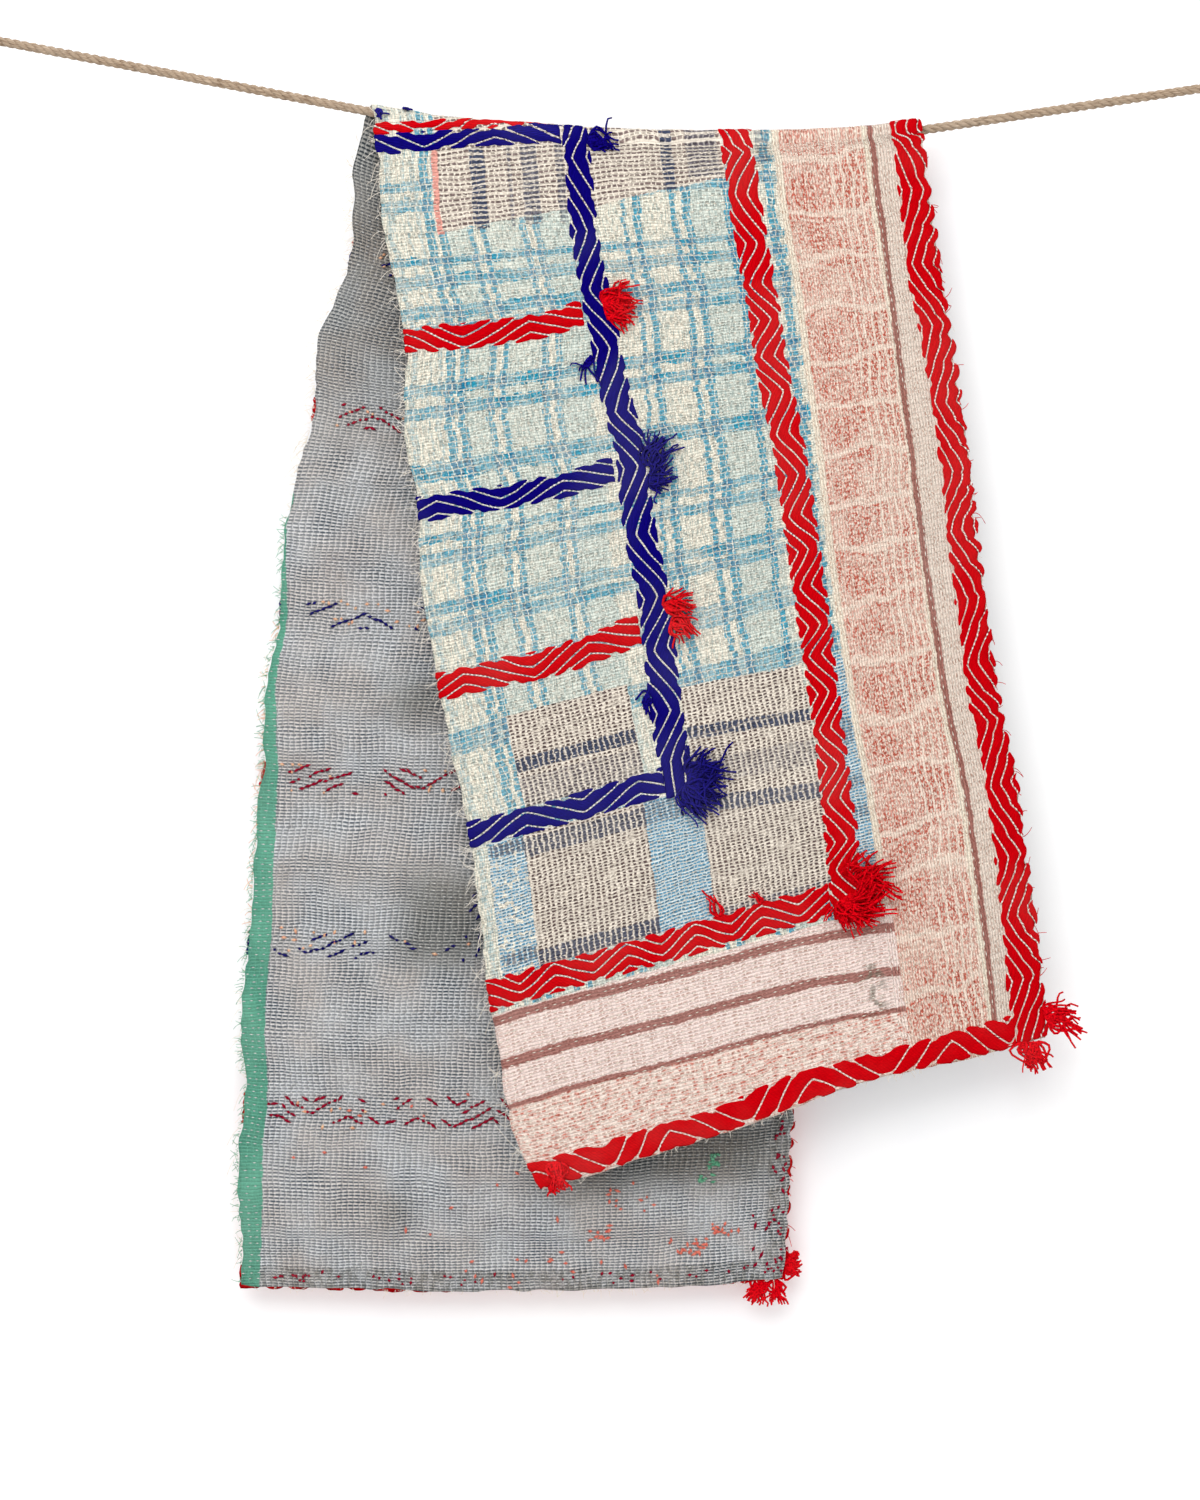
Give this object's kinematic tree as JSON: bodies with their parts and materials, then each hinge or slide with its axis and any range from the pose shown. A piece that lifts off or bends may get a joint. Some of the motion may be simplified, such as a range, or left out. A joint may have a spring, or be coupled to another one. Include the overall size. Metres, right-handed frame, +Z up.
{
  "type": "kantha cloth folded over a rope line",
  "caption": "Hand-quilted patchwork cloth with wool bands and tufts, folded over a taut rope line between wall pegs.",
  "frame": {"origin": "centre of the left peg's wall plate, on the wall", "axes": "+X along the rope line to the right as seen from the room, +Y into the wall, +Z up"},
  "size_m": [1.356, 0.0886, 1.3036],
  "materials": {
    "quilted_cotton": "matte, quilted with running stitch, embroidered in wool",
    "red_wool": "matte wool thread",
    "navy_wool": "matte wool thread",
    "jute_rope": "matte three-strand jute",
    "black_iron": "satin, slightly worn"
  },
  "bodies": {
    "root": {"kantha_cloth": "quilted_cotton", "tuft_red_upper": "red_wool", "tuft_navy_middle": "navy_wool", "tuft_red_lower": "red_wool", "tuft_navy_corner": "navy_wool", "tuft_red_corner": "red_wool", "tuft_navy_fold": "navy_wool", "tassel_front_side": "red_wool", "tassel_front_hem": "red_wool", "tassel_front_cut": "red_wool", "tassel_back_side": "red_wool", "tassel_back_hem": "red_wool", "rope_line": "jute_rope", "rope_end_left": "jute_rope", "rope_end_right": "jute_rope", "wall_peg_left": "black_iron", "wall_peg_right": "black_iron"}
  },
  "joints": []
}
